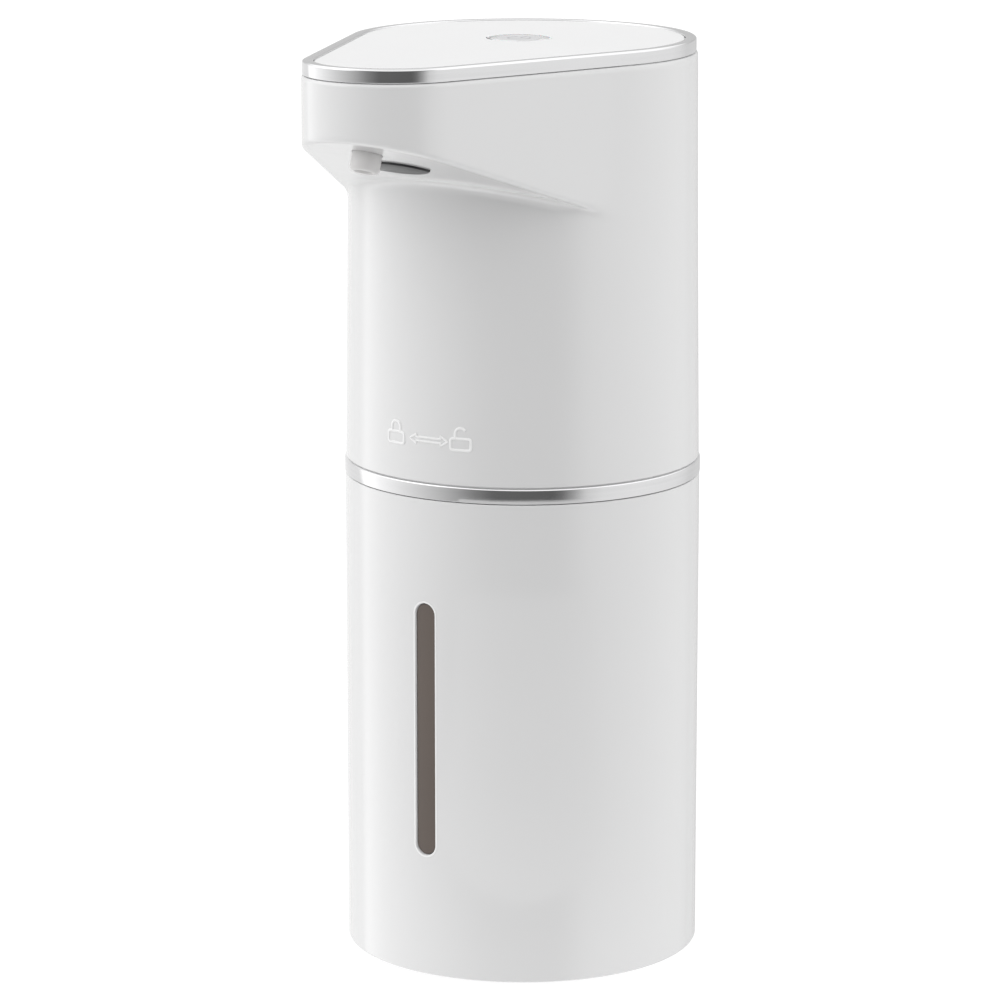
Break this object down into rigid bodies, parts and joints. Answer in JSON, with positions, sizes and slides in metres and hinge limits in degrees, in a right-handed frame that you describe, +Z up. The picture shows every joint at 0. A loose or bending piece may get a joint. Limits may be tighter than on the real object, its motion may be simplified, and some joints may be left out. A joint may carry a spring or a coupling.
{
  "type": "touch-free foaming soap dispenser",
  "caption": "Round touch-free foaming soap dispenser with a twist-lock head, drop-shaped nose, soap level window, silver trim rings and a slim wall bracket.",
  "frame": {"origin": "centre of the foot's underside, on the tank's axis", "axes": "+Z up along the tank's axis; -Y towards the nozzle, +Y towards the wall; +X to the right of somebody who looks along +Y at the nozzle"},
  "size_m": [0.0745, 0.1144, 0.1924],
  "materials": {
    "white_gloss": "glossy moulded white ABS",
    "silver_trim": "satin electroplated plastic trim",
    "smoked_bottle": "smoke-brown see-through plastic",
    "pale_plastic": "fine-textured white plastic",
    "grey_plastic": "matt grey plastic",
    "black_plastic": "matt black plastic",
    "foot_rubber": "soft dark grey rubber",
    "foam_tape": "grey foam tape",
    "light_diffuser": "milky light diffuser",
    "board_green": "green solder mask",
    "steel": "bright zinc-plated steel",
    "sensor_black": "polished black infrared window",
    "nozzle_white": "smooth white plastic",
    "silicone_clear": "milky silicone",
    "silicone_white": "matt white silicone",
    "motor_can": "plated motor can, weighed as a real small motor is",
    "brass_hub": "turned brass",
    "battery_wrap": "blue shrink wrap, weighed as a real cell is"
  },
  "bodies": {
    "tank": {"tank_shell": "white_gloss", "inner_bottle": "smoked_bottle", "neck_collar": "pale_plastic", "foot_pad": "foot_rubber", "hanger_rail": "white_gloss"},
    "head": {"head_shell": "white_gloss", "lower_trim_ring": "silver_trim", "top_trim_ring": "silver_trim", "top_plate": "white_gloss", "button_light_ring": "light_diffuser", "control_board": "board_green", "board_screws": "steel", "tactile_switch": "black_plastic", "status_led": "light_diffuser", "sensor_window": "sensor_black", "sensor_board": "board_green", "ir_emitter": "light_diffuser", "ir_receiver": "black_plastic", "nozzle_tip": "nozzle_white", "foam_screens": "steel", "foam_chamber": "pale_plastic", "foam_hose": "silicone_clear", "pump_cover": "pale_plastic", "valve_plate": "grey_plastic", "pump_diaphragm": "foot_rubber", "pump_housing": "pale_plastic", "wobble_plate": "grey_plastic", "pump_screws": "steel", "pump_motor": "motor_can", "motor_sleeve": "foot_rubber", "battery_cell": "battery_wrap", "battery_cradle": "grey_plastic", "battery_tabs": "steel", "charge_port": "steel", "charge_board": "board_green", "charge_screws": "steel", "chassis_base": "pale_plastic", "chassis_screws": "steel", "seal_ring": "silicone_clear", "dip_tube": "silicone_clear", "inlet_strainer": "nozzle_white"},
    "wall_bracket": {"wall_plate": "pale_plastic", "adhesive_pad": "foam_tape"},
    "button": {"button_cap": "white_gloss"},
    "pump_rotor": {"motor_shaft": "steel", "eccentric_hub": "brass_hub"},
    "flap": {"port_flap": "silicone_white"}
  },
  "joints": [
    {"name": "head_twist", "type": "hinge", "parent": "tank", "child": "head", "pos_m": [0, 0, 0.1015], "axis": [0, 0, 1], "range_deg": [0, 24]},
    {"name": "bracket_slide", "type": "slide", "parent": "tank", "child": "wall_bracket", "axis": [0, 0, -1], "range_m": [0, 0.03]},
    {"name": "button_press", "type": "slide", "parent": "head", "child": "button", "axis": [0, 0, -1], "range_m": [0, 0.0005], "stiffness_N_per_m": 900},
    {"name": "pump_spin", "type": "hinge", "parent": "head", "child": "pump_rotor", "pos_m": [0, -0.008, 0.13], "axis": [0, 0, 1], "continuous": true},
    {"name": "flap_open", "type": "hinge", "parent": "head", "child": "flap", "pos_m": [0, 0.036, 0.1209], "axis": [-1, 0, 0], "range_deg": [0, 100]}
  ]
}
